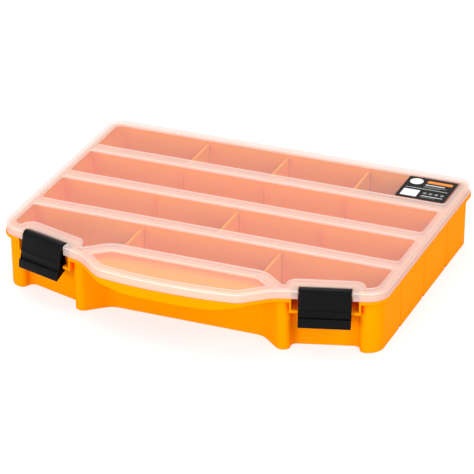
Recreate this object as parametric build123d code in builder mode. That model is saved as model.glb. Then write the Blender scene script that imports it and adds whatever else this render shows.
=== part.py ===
"""Screw organizer box: a tray with long divider walls and a carrying handle, a hinged lid,
two snap latches, six lift-out cross dividers and a blank label.

Frame: millimetres, X to the right, Y to the back, Z up. The origin is in the middle of the
box's outer size, on the surface that the box stands on. Depths are counted towards the front
from the back face of the tray's rim.
"""

import os
from math import cos, radians, sin, tan

from build123d import *

# Outer size and levels
box_width = 250.0
box_depth = 206.0
lid_top = 42.0
rim_top = 35.5
rim_thickness = 2.0
seam_gap = 0.1
floor_thickness = 1.8

# Plan outline of the lid and the tray's rim: slanted front edges run in to the handle
back_corner_radius = 10.0
front_corner_radius = 14.0
front_reach = 37.2
front_slant = radians(17.0)
front_edge_run = 62.3
handle_foot_radius = 24.0
handle_flank_run = 16.8
handle_bow = 3.7
handle_shoulder_radius = 18.0

# Tray walls
wall = 1.8
flange_width = 2.8
body_draft = 1.0
row_corner_radius = 2.0
upstand = 4.3
hollow_set = 2.9
hollow_flank_run = 13.7
hollow_corner_radius = 12.0
nose_radius = 5.0

# Long divider walls, moulded double and open from below
long_divider_depths = (45.8, 88.2, 130.6)
long_divider_width = 4.2
long_divider_skin = 1.4
wall_notch_width = 2.4
wall_notch_height = 2.0
wall_groove_width = 1.4
wall_groove_depth = 0.25

# Handle lip
lip_thickness = 2.2
lip_drop = 6.3
lip_overhang = 4.1
lip_ramp = 22.0
lip_bend_radius = 30.0

# Latches, their pockets in the tray and their notches in the lid
latch_from_side = 33.5
latch_width = 31.4
latch_side_gap = 0.4
ear_width = 3.4
pivot_inward = 2.1
pivot_below_top = 2.3
bar_radius = 1.5
bar_clearance = 0.05
clip_wall = 1.65
clip_mouth = 2.4
clip_mouth_turn = -135.0
plate_thickness = 1.7
grip_reach = 5.6
grip_foot = 19.7
grip_step = 25.2
grip_step_reach = 4.7
ridge_height = 30.5
ridge_radius = 0.5
barb_reach = 4.4
barb_thickness = 0.8
barb_slope = 1.6
pocket_half_width = 20.0
pocket_depth = 11.2
pocket_corner_radius = 3.5
pocket_mouth_radius = 4.5
pocket_rib = 1.2
ledge_top = 28.2
ledge_thickness = 1.9
ledge_set_back = 0.4
hook_clearance = 0.3

# Lid
lid_wall = 1.6
lid_set_in = 0.5
lid_edge_radius = 1.6
frame_inset = 3.7
window_recess = 1.2
window_corner_radius = 3.0
slab_overlap = 1.0
pane_least_radius = 2.5
band_width = 8.3
lens_margin = 5.5
lens_recess = 0.8
lens_band = 4.6

# Back hinge
hinge_spots = (-78.0, 0.0, 78.0)
hinge_height = 29.5
hinge_setback = 1.2
hook_width = 14.0
hook_wall = 1.35
hook_mouth = 2.4
arm_thickness = 2.0
arm_gap = 0.4
arm_top_below_lid = 1.8
lug_width = 3.0
lug_radius = 2.6
lug_gap = 0.4

# Lift-out cross dividers and their slots
cross_pitch = 55.4
front_cross_set = 3.5
cross_thickness = 1.6
cross_top = 37.0
cross_gap = 0.3
cross_lead = 2.0
slot_gap = 0.2
slot_rib = 1.2
slot_rib_depth = 0.8
slot_rib_root = 0.5

# Label
label_width = 32.2
label_length = 30.2
label_thickness = 0.15
label_from_side = 24.4
label_depth = 23.6

# Sizes that follow from the ones above
half_width = box_width / 2
hook_radius = bar_radius + bar_clearance + hook_wall
back_face = (box_depth - hinge_setback - hook_radius) / 2
corner_depth = box_depth - front_reach
handle_foot = half_width - front_edge_run
handle_shoulder = handle_foot - handle_flank_run
handle_shoulder_depth = box_depth - handle_bow
hollow_depth = corner_depth + hollow_set
hollow_half_width = handle_foot - hollow_flank_run
latch_x = half_width - latch_from_side
label_x = half_width - label_from_side
rim_under = rim_top - rim_thickness
wall_top = rim_top + upstand
lid_foot = rim_top + seam_gap
frame_under = lid_top - lid_wall
window_top = lid_top - window_recess
window_under = window_top - lid_wall
lens_top = lid_top - lens_recess
lens_under = lens_top - lid_wall
pivot_height = lid_top - pivot_below_top
clip_bore = bar_radius + bar_clearance
clip_radius = clip_bore + clip_wall
notch_half_width = latch_width / 2 + latch_side_gap
notch_depth = pivot_inward + clip_radius + hook_clearance
ear_outer = notch_half_width + ear_width
barb_top = ledge_top - ledge_thickness - hook_clearance
edge_fall = front_edge_run * tan(front_slant)
flank_slope = (front_reach - handle_bow - edge_fall) / handle_flank_run
front_cross = hollow_half_width - front_cross_set

# Edges of the four rows by depth, the X of the slots along each row, and the cross dividers in it
row_backs = (flange_width + wall, *[depth + long_divider_width / 2 for depth in long_divider_depths])
row_fronts = (*[depth - long_divider_width / 2 for depth in long_divider_depths], hollow_depth - wall)
row_slots = (
    *[(-cross_pitch, 0.0, cross_pitch) for _ in long_divider_depths],
    (-front_cross, front_cross),
)
cross_dividers = (
    {"divider_back_left": -cross_pitch, "divider_back_middle": 0.0, "divider_back_right": cross_pitch},
    {},
    {"divider_third_row": 0.0},
    {"divider_front_left": -front_cross, "divider_front_right": front_cross},
)


def y_at(depth):
    """Y of a depth counted towards the front from the rim's back face."""
    return back_face - depth


def edge_depth(x):
    """Depth of the slanted front edge at a distance x from the middle."""
    return corner_depth + (half_width - x) * tan(front_slant)


def round_corners(sketch, spots, radius):
    """Round the corners of the open sketch that lie nearest to the given spots."""
    corners = [sketch.vertices().sort_by_distance(spot)[0] for spot in spots]
    fillet(corners, radius)


def latch_spot(side, height=0.0):
    """Plan plane at a latch: local x along the rim's edge, local y inward from it."""
    return Plane(
        origin=(side * latch_x, y_at(edge_depth(latch_x)), height),
        x_dir=(cos(front_slant), side * sin(front_slant), 0),
        z_dir=(0, 0, 1),
    )


def latch_section(side):
    """Upright plane across a latch: local x outward from the rim's edge, local y up."""
    return Plane(
        origin=(side * latch_x, y_at(edge_depth(latch_x)), 0),
        x_dir=(side * sin(front_slant), -cos(front_slant), 0),
        z_dir=(-cos(front_slant), -side * sin(front_slant), 0),
    )


def latch_block(half, inward, outward):
    """Plan blocks at both latches, from a depth inward of the rim's edge to a reach outward."""
    with BuildSketch() as blocks:
        for side in (-1, 1):
            with Locations(latch_spot(side)):
                with Locations((0, inward)):
                    Rectangle(2 * half, inward + outward, align=(Align.CENTER, Align.MAX))
    return blocks.sketch


def rim_face(inset=0.0):
    """Plan outline of the lid and of the tray's rim, moved inward by an inset."""
    foot_depth = edge_depth(handle_foot)
    with BuildSketch() as outline:
        with BuildLine():
            front = ThreePointArc(
                (-handle_shoulder, y_at(handle_shoulder_depth)),
                (0, y_at(box_depth)),
                (handle_shoulder, y_at(handle_shoulder_depth)),
            )
            Polyline(
                front @ 1,
                (handle_foot, y_at(foot_depth)),
                (half_width, y_at(corner_depth)),
                (half_width, back_face),
                (-half_width, back_face),
                (-half_width, y_at(corner_depth)),
                (-handle_foot, y_at(foot_depth)),
                front @ 0,
            )
        make_face()
        if inset:
            offset(amount=-inset, kind=Kind.INTERSECTION)
        for x, depth, radius in (
            (half_width, 0, back_corner_radius - inset),
            (half_width, corner_depth, front_corner_radius - inset),
            (handle_foot, foot_depth, handle_foot_radius + inset),
            (handle_shoulder, handle_shoulder_depth, handle_shoulder_radius - inset),
        ):
            round_corners(outline, [(-x, y_at(depth)), (x, y_at(depth))], radius)
    return outline.sketch


def hollow_corner(shift=0.0):
    """X of the corner between the hollow's wall and its flank, moved into the hollow by shift."""
    flank_stretch = (1 + flank_slope**2) ** 0.5
    return hollow_half_width - shift * (flank_stretch - 1) / flank_slope


def hollow_face(shift):
    """Plan of the hollow under the handle, with its wall and flanks moved into it by shift."""
    corner_x = hollow_corner(shift)
    front_x = corner_x + (box_depth - hollow_depth) / flank_slope
    with BuildSketch() as hollow:
        with BuildLine():
            Polyline(
                (-corner_x, y_at(hollow_depth + shift)),
                (corner_x, y_at(hollow_depth + shift)),
                (front_x, y_at(box_depth + shift)),
                (-front_x, y_at(box_depth + shift)),
                close=True,
            )
        make_face()
        corners = [(side * corner_x, y_at(hollow_depth + shift)) for side in (-1, 1)]
        round_corners(hollow, corners, hollow_corner_radius - shift)
    return hollow.sketch


def pocket_spots(inward):
    """Corners of both latch pockets at a depth inward of the rim's edge."""
    sides = [(side, end) for side in (-1, 1) for end in (-1, 1)]
    return [latch_spot(side).from_local_coords((end * pocket_half_width, inward, 0)) for side, end in sides]


def body_corners():
    """Corners of the tray's wall on the right: X, depth, radius, and whether it is an inner corner."""
    side_x = half_width - flange_width
    front_set = flange_width / cos(front_slant)
    nose_x = edge_depth(0) - front_set - hollow_depth + hollow_half_width * flank_slope
    nose_x /= flank_slope + tan(front_slant)
    return (
        (side_x, flange_width, back_corner_radius - flange_width, False),
        (side_x, edge_depth(side_x) - front_set, front_corner_radius - flange_width, False),
        (nose_x, edge_depth(nose_x) - front_set, nose_radius, False),
        (hollow_corner(), hollow_depth, hollow_corner_radius, True),
    )


def corner_table(inset=0.0):
    """Corners of the wall's outline moved inward by an inset, each as a spot and its radius."""
    table = []
    for x, depth, radius, inner in body_corners():
        table += [((side * x, y_at(depth)), radius + (inset if inner else -inset)) for side in (-1, 1)]
    table += [((spot.X, spot.Y), pocket_corner_radius + inset) for spot in pocket_spots(pocket_depth)]
    table += [((spot.X, spot.Y), pocket_mouth_radius - inset) for spot in pocket_spots(flange_width)]
    return table


def body_face(inset=0.0, least_radius=0.0):
    """Plan outline of the tray's wall, with the handle's hollow and the latch pockets cut in.

    Corners that would be tighter than the least radius stay sharp.
    """
    right = [(x, y_at(depth)) for x, depth, _, _ in body_corners()]
    left = [(-x, y) for x, y in reversed(right)]
    with BuildSketch() as outline:
        with BuildLine():
            Polyline(*right, *left, close=True)
        make_face()
        add(latch_block(pocket_half_width, pocket_depth, grip_reach), mode=Mode.SUBTRACT)
        if inset:
            offset(amount=-inset, kind=Kind.INTERSECTION)
        for spot, radius in corner_table(inset):
            if radius > least_radius:
                round_corners(outline, [spot], radius)
    return outline.sketch


def row_faces(inset, strip_width, corner_radius=0.0, least_radius=0.0):
    """Plan of the four rows: the wall outline less a strip along each long divider.

    Their corners at the strips are round where a radius is given, and sharp elsewhere.
    """
    with BuildSketch() as rows:
        add(body_face(inset, least_radius))
        with Locations(*[(0, y_at(depth)) for depth in long_divider_depths]):
            Rectangle(box_width, strip_width, mode=Mode.SUBTRACT)
        if corner_radius:
            reach = half_width - flange_width - inset
            edges = [depth + end * strip_width / 2 for depth in long_divider_depths for end in (-1, 1)]
            spots = [(side * reach, y_at(depth)) for side in (-1, 1) for depth in edges]
            round_corners(rows, spots, corner_radius)
    return rows.sketch


def window_faces(spread=0.0):
    """Plan of the lid's four sunken windows, or of the panes under them, which spread beyond.

    The panes' small corners stay sharp.
    """
    if spread:
        return row_faces(frame_inset - spread, band_width - 2 * spread, 0, pane_least_radius)
    return row_faces(frame_inset, band_width, window_corner_radius)


def lens_face(spread=0.0):
    """Plan of the lid's sunken field over the handle, with its edge moved outward by a spread."""
    with BuildSketch() as lens:
        add(rim_face(lens_margin - spread))
        add(hollow_face(lens_band - spread), mode=Mode.INTERSECT)
    return lens.sketch


def row_span(row, gap=0.0):
    """Y of a row's back and front wall faces, both moved into the row by a gap."""
    return y_at(row_backs[row] + gap), y_at(row_fronts[row] - gap)


def hinge_line(x):
    """Upright plane across the back hinge at X: local x backward, local y up, on the pin's axis."""
    return Plane(origin=(x, y_at(-hinge_setback), hinge_height), x_dir=(0, 1, 0), z_dir=(1, 0, 0))


with BuildPart() as tray:
    # Body under the rim, drafted so that it narrows to the floor
    with BuildSketch(Plane.XY.offset(rim_under)):
        add(body_face())
    extrude(amount=-rim_under, taper=body_draft)
    # Upstand inside the lid's skirt
    with BuildSketch(Plane.XY.offset(rim_under)):
        add(body_face())
    extrude(amount=wall_top - rim_under)
    # Rim flange and handle plate
    with BuildSketch(Plane.XY.offset(rim_under)):
        add(rim_face())
        add(latch_block(pocket_half_width, pocket_depth, grip_reach), mode=Mode.SUBTRACT)
    extrude(amount=rim_thickness)
    # Lip along the front of the handle plate, deepest in the middle
    with BuildSketch(Plane.XY.offset(rim_under)):
        add(rim_face())
        add(rim_face(lip_thickness), mode=Mode.SUBTRACT)
        with Locations((0, y_at(handle_shoulder_depth))):
            Rectangle(2 * (handle_shoulder + lip_overhang), 2 * front_corner_radius, mode=Mode.INTERSECT)
    lip = extrude(amount=-(lip_drop - rim_thickness), mode=Mode.PRIVATE)
    with BuildSketch(Plane.XZ, mode=Mode.PRIVATE) as lip_side:
        lip_end = handle_shoulder + lip_overhang
        lip_foot = rim_top - lip_drop
        bends = [(side * (lip_end - lip_ramp), lip_foot) for side in (-1, 1)]
        with BuildLine():
            Polyline((-lip_end, rim_under), *bends, (lip_end, rim_under), close=True)
        make_face()
        round_corners(lip_side, bends, lip_bend_radius)
    add(lip & extrude(lip_side.sketch, amount=box_depth, both=True, mode=Mode.PRIVATE))
    # Compartment rows
    with BuildSketch(Plane.XY.offset(floor_thickness)):
        add(row_faces(wall, long_divider_width, row_corner_radius))
    extrude(amount=wall_top - floor_thickness, mode=Mode.SUBTRACT)
    # Long dividers are double walls: the gap between their skins opens underneath
    divider_spots = [(0, y_at(depth)) for depth in long_divider_depths]
    with BuildSketch():
        with Locations(*divider_spots):
            Rectangle(box_width - 2 * (flange_width + 2 * wall), long_divider_width - 2 * long_divider_skin)
    extrude(amount=wall_top - long_divider_skin, mode=Mode.SUBTRACT)
    # Each gap ends in a notch in the foot of the side walls, under a shallow groove up the wall
    with BuildSketch():
        with Locations(*divider_spots):
            Rectangle(box_width, wall_notch_width)
    extrude(amount=wall_notch_height, mode=Mode.SUBTRACT)
    for side in (-1, 1):
        top_x = side * (half_width - flange_width)
        lean = side * rim_under * tan(radians(body_draft))
        inset = side * wall_groove_depth
        with BuildSketch(*[Plane.XZ.offset(-y_at(depth)) for depth in long_divider_depths]):
            with BuildLine():
                Polyline(
                    (top_x - inset, rim_under),
                    (top_x + inset, rim_under),
                    (top_x - lean + inset, 0),
                    (top_x - lean - inset, 0),
                    close=True,
                )
            make_face()
        extrude(amount=wall_groove_width / 2, both=True, mode=Mode.SUBTRACT)
    # Slots for the cross dividers, each between two pairs of ribs on the row's walls
    rib_offset = (cross_thickness + slot_rib) / 2 + slot_gap
    rib_depth = slot_rib_depth + slot_rib_root
    with BuildSketch(Plane.XY.offset(floor_thickness)):
        for row, slots in enumerate(row_slots):
            for wall_y, inward in zip(row_span(row), (-1, 1)):
                rib_y = wall_y + inward * (slot_rib_depth - slot_rib_root) / 2
                with Locations(*[(x + side * rib_offset, rib_y) for x in slots for side in (-1, 1)]):
                    Rectangle(slot_rib, rib_depth)
    extrude(amount=cross_top - floor_thickness)
    # Ledge across each pocket, which the latch's barb holds from below
    ledge_foot = ledge_top - ledge_thickness
    with BuildSketch(Plane.XY.offset(ledge_foot)):
        add(latch_block(pocket_half_width + pocket_rib, pocket_depth + wall / 2, -ledge_set_back))
    extrude(amount=ledge_thickness)
    # Ribs that close the sides of each pocket between the ledge and the rim
    with BuildSketch(Plane.XY.offset(ledge_foot)):
        add(latch_block(pocket_half_width + pocket_rib, flange_width + pocket_mouth_radius, -ledge_set_back))
        add(latch_block(pocket_half_width, pocket_depth, grip_reach), mode=Mode.SUBTRACT)
    extrude(amount=rim_under - ledge_foot)
    # Lugs and pins of the back hinge
    lug_x = (hook_width + lug_width) / 2 + lug_gap
    with BuildSketch(*[hinge_line(x + side * lug_x) for x in hinge_spots for side in (-1, 1)]):
        Circle(lug_radius)
        with BuildLine():
            Polyline(
                (0, lug_radius),
                (-hinge_setback - flange_width - wall / 2, rim_under - hinge_height),
                (-hinge_setback - flange_width - wall, -2 * lug_radius),
                (lug_radius * sin(radians(45)), -lug_radius * cos(radians(45))),
                close=True,
            )
        make_face()
    extrude(amount=lug_width / 2, both=True)
    with BuildSketch(*[hinge_line(x - lug_x) for x in hinge_spots]):
        Circle(bar_radius)
    extrude(amount=2 * lug_x)

with BuildPart() as lid:
    # Cap with rounded upper edge
    with BuildSketch(Plane.XY.offset(lid_foot)):
        add(rim_face(lid_set_in))
    extrude(amount=lid_top - lid_foot)
    fillet(lid.faces().sort_by(Axis.Z)[-1].edges(), lid_edge_radius)
    with BuildSketch(Plane.XY.offset(lid_foot)):
        add(rim_face(lid_set_in + lid_wall))
        add(latch_block(ear_outer, notch_depth + lid_wall, grip_reach), mode=Mode.SUBTRACT)
    extrude(amount=frame_under - lid_foot, mode=Mode.SUBTRACT)
    # Sunken windows over the rows and over the handle
    for field, under, top in ((window_faces, window_under, window_top), (lens_face, lens_under, lens_top)):
        with BuildSketch(Plane.XY.offset(under)):
            add(field(slab_overlap))
        extrude(amount=top - under)
        with BuildSketch(Plane.XY.offset(top)):
            add(field())
        extrude(amount=lid_top - top, mode=Mode.SUBTRACT)
    # Notches for the latches, and the bars that the latches turn on
    with BuildSketch(Plane.XY.offset(lid_foot)):
        add(latch_block(notch_half_width, notch_depth, grip_reach))
    extrude(amount=lid_top - lid_foot, mode=Mode.SUBTRACT)
    for side in (-1, 1):
        with BuildSketch(latch_section(side)):
            with Locations((-pivot_inward, pivot_height)):
                Circle(bar_radius)
        extrude(amount=notch_half_width + ear_width / 2, both=True)
    # Hooks that snap over the tray's hinge pins
    arm_face = arm_gap - hinge_setback
    arm_inner = -hinge_setback - lid_set_in - lid_wall / 2
    arm_root = lid_foot + arm_gap - hinge_height
    arm_top = lid_top - arm_top_below_lid - hinge_height
    with BuildSketch(*[hinge_line(x) for x in hinge_spots]):
        Circle(hook_radius)
        with BuildLine():
            Polyline(
                (arm_face, 0),
                (arm_face, arm_root),
                (arm_inner, arm_root),
                (arm_inner, arm_top),
                (-hinge_setback - lid_set_in, arm_top),
                (arm_face + arm_thickness, arm_top - arm_thickness),
                (arm_face + arm_thickness, 0),
                close=True,
            )
        make_face()
        Circle(clip_bore, mode=Mode.SUBTRACT)
        Rectangle(hook_mouth, hook_radius, align=(Align.CENTER, Align.MAX), mode=Mode.SUBTRACT)
    extrude(amount=hook_width / 2, both=True)

with BuildPart() as latch_right:
    plate_face = clip_radius - pivot_inward
    with BuildSketch(latch_section(1)):
        with Locations((-pivot_inward, pivot_height)):
            Circle(clip_radius)
        with BuildLine():
            Polyline(
                (plate_face, pivot_height),
                (plate_face + plate_thickness, ridge_height),
                (plate_face + plate_thickness, grip_step + ridge_radius),
                (grip_step_reach, grip_step),
                (grip_reach, grip_foot),
                (grip_reach - plate_thickness / 2, grip_foot),
                (plate_face + plate_thickness, barb_top - barb_thickness - barb_slope),
                (plate_face, barb_top - barb_thickness - barb_slope),
                (-barb_reach, barb_top - barb_thickness),
                (-barb_reach, barb_top),
                (plate_face, barb_top),
                (plate_face, ridge_height),
                (plate_face - plate_thickness, pivot_height),
                close=True,
            )
        make_face()
        with Locations((plate_face + plate_thickness, ridge_height), (grip_step_reach, grip_step)):
            Circle(ridge_radius)
        with Locations((-pivot_inward, pivot_height)):
            Circle(clip_bore, mode=Mode.SUBTRACT)
            with Locations(Rotation(0, 0, clip_mouth_turn)):
                Rectangle(2 * clip_radius, clip_mouth, align=(Align.MIN, Align.CENTER), mode=Mode.SUBTRACT)
    extrude(amount=latch_width / 2, both=True)

with BuildPart() as latch_left:
    add(mirror(latch_right.part, about=Plane.YZ))

with BuildPart() as label:
    with BuildSketch(Plane.XY.offset(window_top)):
        with Locations((label_x, y_at(label_depth))):
            Rectangle(label_width, label_length)
    extrude(amount=label_thickness)

pieces = {"tray": tray, "lid": lid, "latch_left": latch_left, "latch_right": latch_right, "label": label}

for row, places in enumerate(cross_dividers):
    plate_foot = floor_thickness + slot_gap
    back_edge, front_edge = row_span(row, cross_gap)
    for name, x in places.items():
        with BuildPart() as cross_divider:
            with BuildSketch(Plane.YZ.offset(x)) as plate:
                with Locations((back_edge, plate_foot)):
                    Rectangle(back_edge - front_edge, cross_top - plate_foot, align=(Align.MAX, Align.MIN))
                chamfer(plate.vertices().group_by(Axis.Y)[0], cross_lead)
            extrude(amount=cross_thickness / 2, both=True)
        pieces[name] = cross_divider

os.makedirs("parts", exist_ok=True)
for name, piece in pieces.items():
    piece.part.label = name
    export_step(piece.part, f"parts/{name}.step")
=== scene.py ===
"""Looks of the screw organizer box: its moulded plastics, snap latches, label, studio and camera.

Lengths that describe the object are millimetres and are turned to metres by MM. The frame is the
part's own: X to the right, Y to the back, Z up, with the box standing on Z = 0.
"""

import logging
import math
from collections.abc import Callable, Sequence
from dataclasses import dataclass, field
from enum import Enum

import bmesh
import bpy
import numpy as np
from mathutils import Matrix, Vector

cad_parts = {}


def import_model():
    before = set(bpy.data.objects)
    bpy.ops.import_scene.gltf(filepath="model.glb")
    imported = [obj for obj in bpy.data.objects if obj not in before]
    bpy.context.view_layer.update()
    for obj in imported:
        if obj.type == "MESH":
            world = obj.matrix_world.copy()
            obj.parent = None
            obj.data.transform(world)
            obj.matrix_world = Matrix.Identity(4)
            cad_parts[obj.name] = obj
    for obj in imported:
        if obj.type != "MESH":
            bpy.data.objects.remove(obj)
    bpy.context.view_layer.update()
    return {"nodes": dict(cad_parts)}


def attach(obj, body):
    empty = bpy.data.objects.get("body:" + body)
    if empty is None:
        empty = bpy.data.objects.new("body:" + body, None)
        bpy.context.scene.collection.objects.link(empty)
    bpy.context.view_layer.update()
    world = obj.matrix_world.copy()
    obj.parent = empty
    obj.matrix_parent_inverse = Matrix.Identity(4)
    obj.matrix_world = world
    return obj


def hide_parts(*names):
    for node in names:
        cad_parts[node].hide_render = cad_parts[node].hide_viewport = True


MM = 0.001
LOG = logging.getLogger("organizer_box")


class Side(Enum):
    """The two sides of the box, with the sign of their X."""

    LEFT = -1
    RIGHT = 1


def linear(code: str) -> tuple[float, float, float, float]:
    """Turn an sRGB hex colour to linear light.

    Args:
        code: Six hex digits after a hash sign.

    Returns:
        Red, green, blue and an alpha of one.
    """
    parts = np.array([int(code[place : place + 2], 16) / 255 for place in (1, 3, 5)])
    red, green, blue = np.where(parts <= 0.04045, parts / 12.92, ((parts + 0.055) / 1.055) ** 2.4).tolist()
    return red, green, blue, 1.0


def add_node(
    tree: bpy.types.NodeTree, kind: str, settings: dict | None = None, **links: bpy.types.NodeSocket
) -> bpy.types.Node:
    """Add a node with its settings and links.

    Args:
        tree: The node tree of a material or of the world.
        kind: The node's type name.
        settings: Attributes of the node, or values of its inputs by the input's name.
        links: Sockets that feed the inputs, by the input's name with underscores for spaces.

    Returns:
        The new node.
    """
    node = tree.nodes.new(kind)
    for name, value in (settings or {}).items():
        if name in node.inputs:
            node.inputs[name].default_value = value
        else:
            setattr(node, name, value)
    for name, socket in links.items():
        tree.links.new(socket, node.inputs[name.replace("_", " ")])
    return node


def new_material(name: str) -> tuple[bpy.types.Material, bpy.types.NodeTree, bpy.types.Node]:
    """Make an empty node material.

    Args:
        name: The material's name.

    Returns:
        The material, its tree and its output node.
    """
    material = bpy.data.materials.new(name)
    material.use_nodes = True
    material.node_tree.nodes.clear()
    output = material.node_tree.nodes.new("ShaderNodeOutputMaterial")
    return material, material.node_tree, output


@dataclass(frozen=True)
class MouldedPlastic:
    """Injection-moulded opaque plastic: a soft even sheen over a fine spark-eroded grain.

    The colour drifts a little where the melt has flowed, and the grain breaks up the highlights.
    Where a recess colour is given, the recesses get a painted shade: the colour deepens where the piece's own
    walls hide the sky, in place of light carried through the plastic and off its walls.
    """

    name: str
    colour: str
    flow_colour: str
    roughness: float
    shine: float
    # How far apart the melt's lighter and darker flows lie
    flow_size: float = 60.0
    # The real grain is about 0.1 mm, and it is drawn coarser so that it shows
    grain_size: float = 0.9
    grain_depth: float = 0.012
    # Long shallow waves, left as the plastic shrinks in the mould
    wave_size: float = 22.0
    wave_depth: float = 0.05
    # What the flow adds to the roughness, at its least and at its most
    sheen_spread: tuple[float, float] = (-0.04, 0.06)
    # The painted recess shade is whole where walls within reach leave the first share of the sky open,
    # and gone where they leave the second
    painted_recess_shade: str = ""
    recess_reach: float = 16.0
    recess_range: tuple[float, float] = (0.2, 0.8)
    recess_rays: int = 6

    def material(self) -> bpy.types.Material:
        """Build the node material.

        Returns:
            The finished material.
        """
        made, tree, output = new_material(self.name)
        place = add_node(tree, "ShaderNodeTexCoord").outputs["Object"]
        flow = add_node(
            tree, "ShaderNodeTexNoise", {"Scale": 1 / (self.flow_size * MM), "Detail": 3.0}, Vector=place
        )
        colour = add_node(
            tree,
            "ShaderNodeMix",
            {"data_type": "RGBA", "A": linear(self.colour), "B": linear(self.flow_colour)},
            Factor=flow.outputs["Fac"],
        )
        tint = colour.outputs["Result"]
        # Recesses get a painted shade, by how enclosed they are
        if self.painted_recess_shade:
            tint = self.paint_recess_shade(tree, tint)
        grain = add_node(
            tree, "ShaderNodeTexNoise", {"Scale": 1 / (self.grain_size * MM), "Detail": 2.0}, Vector=place
        )
        wave = add_node(tree, "ShaderNodeTexNoise", {"Scale": 1 / (self.wave_size * MM)}, Vector=place)
        low, high = self.sheen_spread
        sheen = add_node(
            tree,
            "ShaderNodeMapRange",
            {"To Min": self.roughness + low, "To Max": self.roughness + high},
            Value=flow.outputs["Fac"],
        )
        depths = {"Distance": self.wave_depth * MM}, {"Distance": self.grain_depth * MM}
        waves = add_node(tree, "ShaderNodeBump", depths[0], Height=wave.outputs["Fac"])
        grains = add_node(
            tree, "ShaderNodeBump", depths[1], Height=grain.outputs["Fac"], Normal=waves.outputs["Normal"]
        )
        shader = add_node(
            tree,
            "ShaderNodeBsdfPrincipled",
            {"Specular IOR Level": self.shine},
            Base_Color=tint,
            Roughness=sheen.outputs["Result"],
            Normal=grains.outputs["Normal"],
        )
        tree.links.new(shader.outputs["BSDF"], output.inputs["Surface"])
        return made

    def paint_recess_shade(self, tree: bpy.types.NodeTree, tint: bpy.types.NodeSocket) -> bpy.types.NodeSocket:
        """Paint shade into the colour in recesses, by how much of the sky the piece's own walls hide; it
        stands in for light carried through the plastic and off its walls.

        Args:
            tree: The material's tree.
            tint: The colour of open places.

        Returns:
            The colour with its painted recess shade.
        """
        # Only the piece's own walls enclose a place, because the clear lid lets light in
        reach = {"Distance": self.recess_reach * MM, "samples": self.recess_rays, "only_local": True}
        room = add_node(tree, "ShaderNodeAmbientOcclusion", reach)
        span = {"From Min": self.recess_range[0], "From Max": self.recess_range[1]}
        share = add_node(tree, "ShaderNodeMapRange", span, Value=room.outputs["AO"])
        # The painted shade's colour, mixed in where the piece's own walls enclose the place
        shade_mix = {"data_type": "RGBA", "A": linear(self.painted_recess_shade)}
        return add_node(tree, "ShaderNodeMix", shade_mix, Factor=share.outputs["Result"], B=tint).outputs["Result"]


@dataclass(frozen=True)
class MilkyPolypropylene:
    """Injection-moulded clear polypropylene: clear in thin walls, with a milky veil from its crystals."""

    name: str
    colour: str
    # Share of the light that the milky veil stops in one wall
    haze: float
    roughness: float
    shine: float = 0.5
    # The veil is uneven where the melt cooled at different speeds
    cloud_size: float = 35.0
    cloud_share: float = 0.06
    wave_size: float = 14.0
    wave_depth: float = 0.03

    def material(self) -> bpy.types.Material:
        """Build the node material.

        Returns:
            The finished material.
        """
        made, tree, output = new_material(self.name)
        place = add_node(tree, "ShaderNodeTexCoord").outputs["Object"]
        cloud = add_node(
            tree, "ShaderNodeTexNoise", {"Scale": 1 / (self.cloud_size * MM), "Detail": 2.0}, Vector=place
        )
        veil = add_node(
            tree,
            "ShaderNodeMapRange",
            {"To Min": self.haze * (1 - self.cloud_share), "To Max": self.haze * (1 + self.cloud_share)},
            Value=cloud.outputs["Fac"],
        )
        wave = add_node(tree, "ShaderNodeTexNoise", {"Scale": 1 / (self.wave_size * MM)}, Vector=place)
        depth = {"Distance": self.wave_depth * MM}
        waves = add_node(tree, "ShaderNodeBump", depth, Height=wave.outputs["Fac"])
        shader = add_node(
            tree,
            "ShaderNodeBsdfPrincipled",
            {
                "Base Color": linear(self.colour),
                "Roughness": self.roughness,
                "Specular IOR Level": self.shine,
            },
            Alpha=veil.outputs["Result"],
            Normal=waves.outputs["Normal"],
        )
        tree.links.new(shader.outputs["BSDF"], output.inputs["Surface"])
        return made


@dataclass(frozen=True)
class PrintedInk:
    """Ink printed on the sticker's film, flat and a little rough."""

    name: str
    colour: str
    roughness: float = 0.5
    shine: float = 0.3

    def material(self) -> bpy.types.Material:
        """Build the node material.

        Returns:
            The finished material.
        """
        made, tree, output = new_material(self.name)
        shader = add_node(
            tree,
            "ShaderNodeBsdfPrincipled",
            {
                "Base Color": linear(self.colour),
                "Roughness": self.roughness,
                "Specular IOR Level": self.shine,
            },
        )
        tree.links.new(shader.outputs["BSDF"], output.inputs["Surface"])
        return made


def new_piece(
    name: str, mesh: bpy.types.Mesh, body: str, slot: str, replaced: Sequence[str]
) -> bpy.types.Object:
    """Put a mesh into the scene as a piece of the box.

    Args:
        name: The piece's name.
        mesh: Its mesh, in metres in the part's frame.
        body: The body that it moves with.
        slot: The record's material slot; not used.
        replaced: The nodes that it stands for.

    Returns:
        The piece's object, at the origin.
    """
    piece = bpy.data.objects.new(name, mesh)
    bpy.context.scene.collection.objects.link(piece)
    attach(piece, body)
    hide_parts(*replaced)
    return piece


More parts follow.
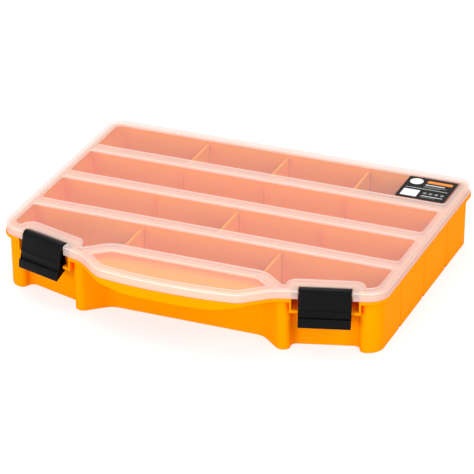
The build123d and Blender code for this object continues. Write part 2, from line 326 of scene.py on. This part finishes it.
@dataclass
class Moulding:
    """A moulded piece with the shape of its node, and with the small radii that its mould has."""

    node: str
    body: str
    slot: str
    edge_radius: float = 0.2
    edge_segments: int = 2
    # Edges that turn more than this, in degrees, are corners of the mould and not facets of a curve
    corner_turn: float = 33.0
    # Share of a short crossing edge that a radius may take
    room_share: float = 0.42
    # Edges whose directions agree more than this run along the corner and don't cross it
    along_share: float = 0.9
    # Points closer than this in millimetres are one, and faces that turn less in degrees are flat
    merge_reach: float = 0.002
    flat_turn: float = 0.3
    # How much more the large faces say than the small ones in the normals that they share
    flat_weight: int = 100

    def sew(self) -> bmesh.types.BMesh:
        """Join the node's loose triangles into flat convex faces with shared corners.

        Returns:
            The sewn mesh, in metres.
        """
        source = bpy.data.objects[self.node]
        sewn = bmesh.new()
        sewn.from_mesh(source.data)
        sewn.transform(source.matrix_world)
        bmesh.ops.remove_doubles(sewn, verts=sewn.verts, dist=self.merge_reach * MM)
        bmesh.ops.dissolve_degenerate(sewn, dist=self.merge_reach * MM, edges=sewn.edges)
        bmesh.ops.dissolve_limit(
            sewn, angle_limit=math.radians(self.flat_turn), verts=sewn.verts, edges=sewn.edges
        )
        bmesh.ops.connect_verts_concave(sewn, faces=[face for face in sewn.faces if len(face.verts) > 4])
        bmesh.ops.recalc_face_normals(sewn, faces=sewn.faces)
        return sewn

    def mark_corners(self, sewn: bmesh.types.BMesh) -> None:
        """Mark the edges to round, each as far as the faces beside it leave room.

        Args:
            sewn: The sewn mesh, which gets a bevel weight on its corners.
        """
        weight = sewn.edges.layers.float.new("bevel_weight_edge")
        least = math.radians(self.corner_turn)
        for edge in sewn.edges:
            if len(edge.link_faces) != 2 or edge.calc_face_angle(0.0) < least:
                continue
            along = (edge.verts[1].co - edge.verts[0].co).normalized()
            room = self.edge_radius * MM / self.room_share
            for end in edge.verts:
                for other in end.link_edges:
                    across = (other.verts[1].co - other.verts[0].co).normalized()
                    if other is not edge and abs(across.dot(along)) < self.along_share:
                        room = min(room, other.calc_length())
            edge[weight] = min(1.0, self.room_share * room / (self.edge_radius * MM))

    def build(
        self, materials: Sequence[bpy.types.Material], pick: Callable[[bmesh.types.BMFace], int]
    ) -> bpy.types.Object:
        """Make the piece in place of its node.

        Args:
            materials: The piece's materials.
            pick: The index of the material for a face.

        Returns:
            The piece's object.
        """
        sewn = self.sew()
        self.mark_corners(sewn)
        for face in sewn.faces:
            face.material_index = pick(face)
            face.smooth = True
        mesh = bpy.data.meshes.new(f"{self.node}_moulding")
        sewn.to_mesh(mesh)
        sewn.free()
        for material in materials:
            mesh.materials.append(material)
        piece = new_piece(f"{self.node}_moulding", mesh, self.body, self.slot, [self.node])
        rounding = piece.modifiers.new("mould_radii", "BEVEL")
        rounding.limit_method = "WEIGHT"
        rounding.width = self.edge_radius * MM
        rounding.segments = self.edge_segments
        rounding.use_clamp_overlap = False
        evening = piece.modifiers.new("flat_faces_stay_flat", "WEIGHTED_NORMAL")
        evening.mode = "FACE_AREA"
        evening.weight = self.flat_weight
        evening.keep_sharp = True
        return piece


@dataclass
class Lid:
    """The clear lid: a frosted frame with bands, and sunken windows that are clearer."""

    # Heights of the upper and lower face of the windows, and of the field over the handle
    window_heights: tuple[float, float] = (40.8, 39.2)
    handle_heights: tuple[float, float] = (41.2, 39.6)
    height_slack: float = 0.05
    # An upright face whose middle is above this height is a step beside a window
    step_foot: float = 39.4
    # A face lies level where its normal's Z is above the first share, and stands below the second
    level_share: float = 0.9
    upright_share: float = 0.4
    # The frame is thick and finely textured, so it looks like frosted glass over the orange; its pinkish
    # white is painted orange light, scattered up from the tray into the milky plastic
    frosted: MilkyPolypropylene = MilkyPolypropylene(
        "frosted_polypropylene", "#F8E6DC", haze=0.4, roughness=0.32
    )
    # The windows are thin and polished, so the rows show through a light veil, whose pink tint is painted
    # orange light from the tray below
    clear: MilkyPolypropylene = MilkyPolypropylene(
        "clear_polypropylene", "#FAE8E0", haze=0.125, roughness=0.2, shine=0.35
    )
    # The field over the handle plate is a little thicker than the windows, and its peach tint is painted
    # orange light from the plate just below it
    handle: MilkyPolypropylene = MilkyPolypropylene(
        "handle_polypropylene", "#FFEEDC", haze=0.17, roughness=0.24, shine=0.35
    )
    # The steps beside the windows are seen along the wall, so they draw thin whitish lines: a whiter, more
    # veiled copy of the plastic, partly for the longer way through the wall and partly a painted highlight
    step: MilkyPolypropylene = MilkyPolypropylene("step_highlight_polypropylene", "#FFF6F0", haze=0.6, roughness=0.3)

    def zone(self, face: bmesh.types.BMFace) -> int:
        """Tell the frame, the windows, the handle's field and the steps apart.

        Args:
            face: A face of the lid.

        Returns:
            0 for the frame, 1 for a window, 2 for the field over the handle and 3 for a step beside them.
        """
        height = face.calc_center_median().z / MM
        if abs(face.normal.z) > self.level_share:
            for index, heights in ((1, self.window_heights), (2, self.handle_heights)):
                if min(abs(height - level) for level in heights) < self.height_slack:
                    return index
        if abs(face.normal.z) < self.upright_share and height > self.step_foot:
            return 3
        return 0

    def build(self) -> bpy.types.Object:
        """Make the lid with its four finishes, and return its object."""
        finishes = [finish.material() for finish in (self.frosted, self.clear, self.handle, self.step)]
        return Moulding("lid", "lid", "clear_lid").build(finishes, self.zone)


@dataclass
class Tray:
    """The orange tray, with the colour drift of a large moulding."""

    # A satin mould leaves hardly any gloss, and the recesses get a painted red shade in place of light that
    # passes through the plastic
    plastic: MouldedPlastic = MouldedPlastic(
        "moulded_orange_polypropylene",
        "#FF9E00",
        "#FF9700",
        roughness=0.42,
        shine=0.004,
        painted_recess_shade="#FF5200",
    )

    def build(self) -> bpy.types.Object:
        """Make the tray, and return its object."""
        return Moulding("tray", "tray", "orange_tray").build([self.plastic.material()], lambda face: 0)


@dataclass
class CrossDividers:
    """The plates that lift out of the slots."""

    # The same orange as the tray, from a smoother mould
    plastic: MouldedPlastic = MouldedPlastic(
        "divider_polypropylene", "#FF9E00", "#FF9700", roughness=0.42, shine=0.03
    )

    def build(self, names: Sequence[str]) -> list[bpy.types.Object]:
        """Make the plates of the nodes that are named, and return their objects."""
        finish = self.plastic.material()
        return [Moulding(name, name, "orange_divider").build([finish], lambda face: 0) for name in names]


def arc(centre: Sequence[float], radius: float, first: float, last: float, steps: int) -> np.ndarray:
    """Points of an arc in a plane: the centre plus the radius times the cosine and sine of each angle.

    Args:
        centre: Its centre.
        radius: Its radius.
        first: Angle of its first point, in degrees.
        last: Angle of its last point, in degrees.
        steps: Number of chords.

    Returns:
        An array of steps + 1 points.
    """
    angles = np.radians(np.linspace(first, last, steps + 1))
    return np.array(centre) + radius * np.stack([np.cos(angles), np.sin(angles)], axis=1)


def rounded_path(corners: Sequence[Sequence[float]], steps: int, least_turn: float = 0.01) -> np.ndarray:
    """Replace the inner corners of an open path by tangent arcs.

    An arc's centre lies on the corner's bisector, at the radius over the cosine of half the turn,
    and its points turn from the first tangent point to the last by equal angles.

    Args:
        corners: Corner points, each with the radius of its arc, which is zero at a sharp one.
        steps: Number of chords in each arc.
        least_turn: Turn in radians below which a corner is left as it is.

    Returns:
        The path's points.
    """
    shares = np.linspace(0, 1, steps + 1)[:, None]
    points = [np.array([corners[0][:2]])]
    for before, here, after in zip(corners, corners[1:], corners[2:]):
        spot, radius = np.array(here[:2]), here[2]
        back, ahead = np.array(before[:2]) - spot, np.array(after[:2]) - spot
        back, ahead = back / np.linalg.norm(back), ahead / np.linalg.norm(ahead)
        turn = math.pi - math.acos(float(np.clip(back @ ahead, -1, 1)))
        if radius == 0 or turn < least_turn:
            points.append(spot[None])
            continue
        reach = radius * math.tan(turn / 2)
        middle = spot + (back + ahead) / np.linalg.norm(back + ahead) * radius / math.cos(turn / 2)
        start, end = spot + back * reach - middle, spot + ahead * reach - middle
        spokes = start * np.sin((1 - shares) * turn) + end * np.sin(shares * turn)
        points.append(middle + spokes / math.sin(turn))
    points.append(np.array([corners[-1][:2]]))
    return np.concatenate(points)


def grid_mesh(name: str, grids: Sequence[np.ndarray]) -> bpy.types.Mesh:
    """Make a mesh of closed bodies, each a grid of loops of points, one after the other along it.

    Each quad joins two neighbouring points of a loop to the same two of the next loop, and the
    first and the last loop are closed by a face. The quads of a body come before its two ends.

    Args:
        name: The mesh's name.
        grids: Points in millimetres, for each body as loops by points by three.

    Returns:
        The mesh, in metres and with flat faces.
    """
    faces, first = [], 0
    for grid in grids:
        loops, count = grid.shape[:2]
        index = np.arange(first, first + loops * count).reshape(loops, count)
        here, there = index[:-1], index[1:]
        quads = np.stack([here, np.roll(here, -1, axis=1), np.roll(there, -1, axis=1), there], axis=-1)
        faces += [*quads.reshape(-1, 4).tolist(), index[0, ::-1].tolist(), index[-1].tolist()]
        first += loops * count
    points = np.concatenate([grid.reshape(-1, 3) for grid in grids]) * MM
    mesh = bpy.data.meshes.new(name)
    mesh.from_pydata(points.tolist(), [], faces)
    return mesh


@dataclass
class SnapLatch:
    """A black snap latch: a clip on the lid's bar, a curved plate, a barb and a flared grip."""

    side: Side
    plastic: bpy.types.Material
    # The middle of the latch on the lid's slanted edge, and that edge's slant in degrees
    bar_x: float = 91.5
    edge_y: float = -78.0917
    slant: float = 17.0
    width: float = 31.4
    # The bar's axis, outward from that edge and up, and the clip that is open towards the tray
    pivot: tuple[float, float] = (-2.1, 39.7)
    clip_radius: float = 3.2
    clip_bore: float = 1.55
    clip_start: float = 12.0
    clip_steps: tuple[int, int, int] = (22, 20, 6)
    mouth: float = 2.4
    mouth_angle: float = 225.0
    # The plate, how far its front leads the clip's, the ridge across it and the step below
    plate: float = 1.7
    plate_lead: float = 0.12
    ridge_height: float = 30.5
    ridge_radius: float = 0.5
    step_height: float = 25.2
    step_reach: float = 4.7
    grip_reach: float = 5.6
    grip_foot: float = 19.7
    barb_reach: float = 4.4
    barb_top: float = 26.0
    barb_thickness: float = 0.8
    barb_slope: float = 1.6
    end_radius: float = 0.45
    end_steps: int = 4
    corner_steps: int = 5
    # The shortest sum of two normals, so that a sharp corner isn't drawn in too far
    mitre_limit: float = 0.5
    # Edges that turn more than this, in degrees, are drawn sharp
    sharp_turn: float = 40.0

    def clip(self) -> np.ndarray:
        """Trace the clip: round its outside to the mouth, back round its bore, and on to the plate.

        The plate's back is a line that leans outward from the clip to the ridge. It leaves the
        clip's circle where a point of the line lies a clip's radius from the bar's axis, which is
        the greater root of a quadratic in the share of the line.

        Returns:
            An open run of points in millimetres.
        """
        half_outer = math.degrees(math.asin(self.mouth / 2 / self.clip_radius))
        half_inner = math.degrees(math.asin(self.mouth / 2 / self.clip_bore))
        lean = np.array([self.plate, self.ridge_height - self.pivot[1]])
        start = np.array([self.clip_radius - self.plate, 0.0])
        square, double, left = lean @ lean, 2 * lean @ start, start @ start - self.clip_radius**2
        root = (-double + math.sqrt(double * double - 4 * square * left)) / (2 * square)
        meeting = start + lean * root
        runs = (
            (self.clip_radius, self.clip_start, self.mouth_angle - half_outer),
            (self.clip_bore, self.mouth_angle - half_inner, self.mouth_angle + half_inner - 360),
            (
                self.clip_radius,
                self.mouth_angle + half_outer - 360,
                math.degrees(math.atan2(meeting[1], meeting[0])),
            ),
        )
        return np.concatenate([arc(self.pivot, *run, steps) for run, steps in zip(runs, self.clip_steps)])

    def profile(self) -> np.ndarray:
        """Trace the latch's section, outward from the lid and up.

        Returns:
            A closed loop of points in millimetres.
        """
        face = self.pivot[0] + self.clip_radius
        outer = face + self.plate
        barb_foot = self.barb_top - self.barb_thickness
        soft = self.ridge_radius
        clip = self.clip()
        # Each corner is outward, up, and the radius of its arc
        barb = [
            (face, self.ridge_height, 4.0),
            (face, self.barb_top, 0.5),
            (-self.barb_reach, self.barb_top, 0.3),
            (-self.barb_reach, barb_foot, 0.3),
            (face, barb_foot - self.barb_slope, 0.9),
        ]
        grip = [
            (outer, barb_foot - self.barb_slope, 1.2),
            (self.grip_reach - self.plate / 2, self.grip_foot, 0.35),
            (self.grip_reach, self.grip_foot, 0.35),
        ]
        # The step and the ridge are soft swells, so their corners go by the ridge's radius
        front = [
            (self.step_reach + 0.8 * soft, self.step_height + 0.2 * soft, 0.75),
            (outer, self.step_height + soft, 0.5),
            (outer, self.ridge_height - 1.3 * soft, 0.3),
            (outer + 1.2 * soft, self.ridge_height, 0.4),
            (outer - 0.1, self.ridge_height + 2.8 * soft, 0.8),
            (face + self.plate_lead, self.pivot[1], 3.0),
        ]
        rest = rounded_path([(*clip[-1], 0), *barb, *grip, *front, (*clip[0], 0)], self.corner_steps)
        return np.concatenate([clip, rest[1:-1]])

    def build(self) -> bpy.types.Object:
        """Sweep the section along the lid's bar, with rounded ends.

        A point of the latch is the lid's edge, plus the way along the bar times the station, plus
        the way outward and the way up times the section. At each end the section is drawn in along
        its normals by the end's radius times one less an angle's sine, and the station comes in by
        the radius times one less its cosine, for angles from 0 to 90 degrees.

        Returns:
            The latch's object.
        """
        loop = self.profile()
        edges = np.roll(loop, -1, axis=0) - loop
        normals = np.stack([edges[:, 1], -edges[:, 0]], axis=1)
        normals /= np.linalg.norm(normals, axis=1, keepdims=True)
        outward = normals + np.roll(normals, 1, axis=0)
        outward /= np.maximum(np.linalg.norm(outward, axis=1, keepdims=True), self.mitre_limit)
        turns = np.radians(np.linspace(0, 90, self.end_steps + 1))[:, None, None]
        shrink, inset = self.end_radius * (1 - np.sin(turns)), self.end_radius * (1 - np.cos(turns))
        stations = np.concatenate([inset - self.width / 2, self.width / 2 - inset[::-1]])
        sections = loop - outward * np.concatenate([shrink, shrink[::-1]])
        slant, sign = math.radians(self.slant), self.side.value
        along = np.array([math.cos(slant), sign * math.sin(slant), 0.0])
        out = np.array([sign * math.sin(slant), -math.cos(slant), 0.0])
        up = np.array([0.0, 0.0, 1.0])
        corner = np.array([sign * self.bar_x, self.edge_y, 0.0])
        grid = corner + along * stations + out * sections[..., :1] + up * sections[..., 1:]
        name = f"latch_{self.side.name.lower()}"
        mesh = grid_mesh(f"{name}_moulding", [grid])
        mesh.polygons.foreach_set("use_smooth", [True] * len(mesh.polygons))
        fix = bmesh.new()
        fix.from_mesh(mesh)
        bmesh.ops.recalc_face_normals(fix, faces=fix.faces)
        fix.to_mesh(mesh)
        fix.free()
        mesh.set_sharp_from_angle(angle=math.radians(self.sharp_turn))
        mesh.materials.append(self.plastic)
        return new_piece(f"{name}_moulding", mesh, name, "black_latch", [name])


@dataclass
class Field:
    """A printed field of the sticker, from its lower left corner."""

    x: float
    y: float
    width: float
    height: float
    radius: float = 0.3
    ink: int = 0


@dataclass
class Sticker:
    """The sticker on the lid: black film with plain printed fields."""

    # Its lower left corner, and the height of the lid's window
    low: tuple[float, float] = (84.5, 62.25)
    size: tuple[float, float] = (32.2, 30.2)
    base: float = 40.8
    film: float = 0.15
    ink_thickness: float = 0.02
    corner_radius: float = 1.2
    corner_steps: int = 6
    # Plastic film with a satin face, black and nearly flat
    backing: MouldedPlastic = MouldedPlastic(
        "black_film", "#0C0C0D", "#0A0A0B", roughness=0.4, shine=0.08, wave_depth=0.01, grain_depth=0.004
    )
    # The inks' order is that of the fields' ink number
    inks: tuple[PrintedInk, ...] = (
        PrintedInk("white_ink", "#F2F2EE"),
        PrintedInk("orange_ink", "#F0882A"),
        PrintedInk("grey_ink", "#8C8C8C"),
    )
    # A disc, a bar with lines under it, a rule, a block, four dots and two lines
    fields: list[Field] = field(
        default_factory=lambda: [
            Field(2.2, 19.6, 8.6, 8.6, 4.3, 0),
            Field(13.4, 23.6, 16.4, 3.4, 0.5, 1),
            Field(13.4, 20.6, 12.6, 0.9, 0.2, 0),
            Field(13.4, 18.6, 14.6, 0.5, 0.1, 2),
            Field(13.4, 17.2, 11.0, 0.5, 0.1, 2),
            Field(2.4, 14.6, 27.4, 0.35, 0.1, 0),
            Field(2.4, 2.6, 10.6, 9.4, 0.5, 0),
            *[Field(15.6 + 3.8 * step, 7.9, 2.5, 2.5, 1.25, 2) for step in range(4)],
            Field(15.6, 4.9, 14.0, 0.6, 0.1, 0),
            Field(15.6, 3.2, 9.5, 0.5, 0.1, 2),
        ]
    )

    def slab(self, spot: Field, low: float, high: float) -> np.ndarray:
        """Work out a thin slab with rounded corners: one outline of four arcs at two heights.

        Args:
            spot: The slab's place and size, from the sticker's lower left corner.
            low: Height of its underside.
            high: Height of its face.

        Returns:
            Points in millimetres, as two loops by points by three.
        """
        radius = min(spot.radius, spot.width / 2, spot.height / 2)
        right, back = spot.width - radius, spot.height - radius
        centres = ((right, back), (radius, back), (radius, radius), (right, radius))
        turns = [
            arc(centre, radius, 90 * place, 90 * place + 90, self.corner_steps)
            for place, centre in enumerate(centres)
        ]
        outline = np.concatenate(turns) + (self.low[0] + spot.x, self.low[1] + spot.y)
        return np.stack([np.insert(outline, 2, height, axis=1) for height in (low, high)])

    def build(self) -> bpy.types.Object:
        """Make the film and its print.

        Returns:
            The sticker's object.
        """
        face = self.base + self.film
        slabs = [self.slab(Field(0, 0, *self.size, self.corner_radius), self.base, face)]
        slabs += [self.slab(spot, face, face + self.ink_thickness) for spot in self.fields]
        mesh = grid_mesh("label_film", slabs)
        for finish in (self.backing, *self.inks):
            mesh.materials.append(finish.material())
        # Every slab has as many faces, and the film's finish comes before the inks
        finishes = [0, *[spot.ink + 1 for spot in self.fields]]
        mesh.polygons.foreach_set("material_index", np.repeat(finishes, len(mesh.polygons) // len(slabs)))
        return new_piece("label_film", mesh, "lid", "label_film", ["label"])


@dataclass
class Viewpoint:
    """The photograph's viewpoint, from the fit of the box's edges in it."""

    place: tuple[float, float, float] = (650.19, -1580.02, 875.73)
    turn: float = 22.25
    rise: float = 26.49
    lens: float = 234.1
    sensor: float = 36.0
    # What the camera shows, in metres from it
    clip_range: tuple[float, float] = (0.05, 50.0)

    def build(self) -> bpy.types.Object:
        """Make the camera.

        Returns:
            The camera, set as the scene's.
        """
        turn, rise = math.radians(self.turn), math.radians(self.rise)
        right = Vector((math.cos(turn), math.sin(turn), 0.0))
        back = Vector((math.sin(turn) * math.cos(rise), -math.cos(turn) * math.cos(rise), math.sin(rise)))
        up = back.cross(right)
        data = bpy.data.cameras.new("viewpoint")
        data.lens, data.sensor_width = self.lens, self.sensor
        data.clip_start, data.clip_end = self.clip_range
        camera = bpy.data.objects.new("viewpoint", data)
        facing = Matrix((right, up, back)).transposed().to_4x4()
        camera.matrix_world = Matrix.Translation(Vector(self.place) * MM) @ facing
        bpy.context.scene.collection.objects.link(camera)
        bpy.context.scene.camera = camera
        return camera


@dataclass
class SoftLamp:
    """One soft box of the studio, placed in metres and with its power in watts."""

    name: str
    place: tuple[float, float, float]
    size: float
    power: float
    target: tuple[float, float, float] = (0.0, 0.0, 0.02)

    def build(self) -> bpy.types.Object:
        """Make the lamp, turned to the box.

        Returns:
            The lamp's object.
        """
        data = bpy.data.lights.new(self.name, "AREA")
        data.shape, data.size, data.energy = "DISK", self.size, self.power
        lamp = bpy.data.objects.new(self.name, data)
        lamp.location = self.place
        lamp.rotation_euler = (Vector(self.target) - Vector(self.place)).to_track_quat("-Z", "Y").to_euler()
        bpy.context.scene.collection.objects.link(lamp)
        return lamp


@dataclass
class Studio:
    """A white sweep under soft light."""

    sky_strength: float = 0.62
    # The floor's half width in metres, and how light it is to the rays that light the box
    floor_reach: float = 6.0
    floor_grey: float = 0.8
    # The floor that shows adds a glow to a weak share of the light, so that a pale shadow is left
    floor_light: float = 0.72
    floor_share: float = 0.33
    lamps: list[SoftLamp] = field(
        default_factory=lambda: [
            SoftLamp("key_softbox", (1.45, -0.85, 1.3), 1.4, 17.0),
            SoftLamp("top_softbox", (-0.3, 0.3, 1.8), 1.6, 14.0),
            SoftLamp("front_softbox", (-0.5, -1.9, 0.35), 0.9, 19.0),
        ]
    )

    def seen(self, tree: bpy.types.NodeTree) -> bpy.types.NodeSocket:
        """Tell the rays that show the background from those that light the box.

        Args:
            tree: The tree of the floor's material or of the world.

        Returns:
            One for a camera, glossy or transmission ray, and zero for any other.
        """
        path = add_node(tree, "ShaderNodeLightPath")
        shown = path.outputs["Is Camera Ray"]
        for kind in ("Is Glossy Ray", "Is Transmission Ray"):
            either = add_node(tree, "ShaderNodeMath", {"operation": "MAXIMUM"})
            tree.links.new(shown, either.inputs[0])
            tree.links.new(path.outputs[kind], either.inputs[1])
            shown = either.outputs["Value"]
        return shown

    def sky(self) -> None:
        """Light the world evenly, and show it white to the camera and in reflections."""
        world = bpy.data.worlds.new("sky")
        bpy.context.scene.world = world
        world.use_nodes = True
        tree = world.node_tree
        tree.nodes.clear()
        strength = add_node(
            tree, "ShaderNodeMapRange", {"To Min": self.sky_strength, "To Max": 1.0}, Value=self.seen(tree)
        )
        white = {"Color": linear("#FFFFFF")}
        sky = add_node(tree, "ShaderNodeBackground", white, Strength=strength.outputs["Result"])
        output = add_node(tree, "ShaderNodeOutputWorld")
        tree.links.new(sky.outputs["Background"], output.inputs["Surface"])

    def floor(self) -> bpy.types.Object:
        """Lay the white floor, which keeps a soft shadow.

        Returns:
            The floor's object.
        """
        reach = self.floor_reach
        corners = [(-reach, -reach, 0.0), (reach, -reach, 0.0), (reach, reach, 0.0), (-reach, reach, 0.0)]
        mesh = bpy.data.meshes.new("floor")
        mesh.from_pydata(corners, [], [(0, 1, 2, 3)])
        floor = bpy.data.objects.new("floor", mesh)
        bpy.context.scene.collection.objects.link(floor)
        made, tree, output = new_material("white_sweep")
        plain = add_node(tree, "ShaderNodeBsdfDiffuse", {"Color": (self.floor_grey,) * 3 + (1.0,)})
        shade = add_node(tree, "ShaderNodeBsdfDiffuse", {"Color": (self.floor_share,) * 3 + (1.0,)})
        light = add_node(tree, "ShaderNodeEmission", {"Strength": self.floor_light})
        shown = add_node(tree, "ShaderNodeAddShader")
        tree.links.new(shade.outputs["BSDF"], shown.inputs[0])
        tree.links.new(light.outputs["Emission"], shown.inputs[1])
        choice = add_node(tree, "ShaderNodeMixShader", Fac=self.seen(tree))
        tree.links.new(plain.outputs["BSDF"], choice.inputs[1])
        tree.links.new(shown.outputs["Shader"], choice.inputs[2])
        tree.links.new(choice.outputs["Shader"], output.inputs["Surface"])
        mesh.materials.append(made)
        return floor

    def build(self) -> None:
        """Set the floor, the sky and the lamps."""
        self.sky()
        self.floor()
        for lamp in self.lamps:
            lamp.build()
        bpy.context.scene.view_settings.view_transform = "Standard"


def main() -> None:
    """Load the frame, build every piece of the box, report them, and set the studio."""
    logging.basicConfig(level=logging.INFO, format="%(name)s: %(message)s")
    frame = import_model()
    pieces = [Tray().build(), Lid().build()]
    pieces += CrossDividers().build([name for name in frame["nodes"] if name.startswith("divider")])
    # The latches are nearly black, from a mould so smooth that their ridges and steps catch light
    black = MouldedPlastic("moulded_black_plastic", "#0A0A0B", "#08080A", roughness=0.2, shine=0.1).material()
    pieces += [SnapLatch(side, black).build() for side in Side]
    pieces.append(Sticker().build())
    for piece in pieces:
        LOG.info("%s: %d faces before its modifiers", piece.name, len(piece.data.polygons))
    Studio().build()
    Viewpoint().build()


if __name__ == "__main__":
    main()
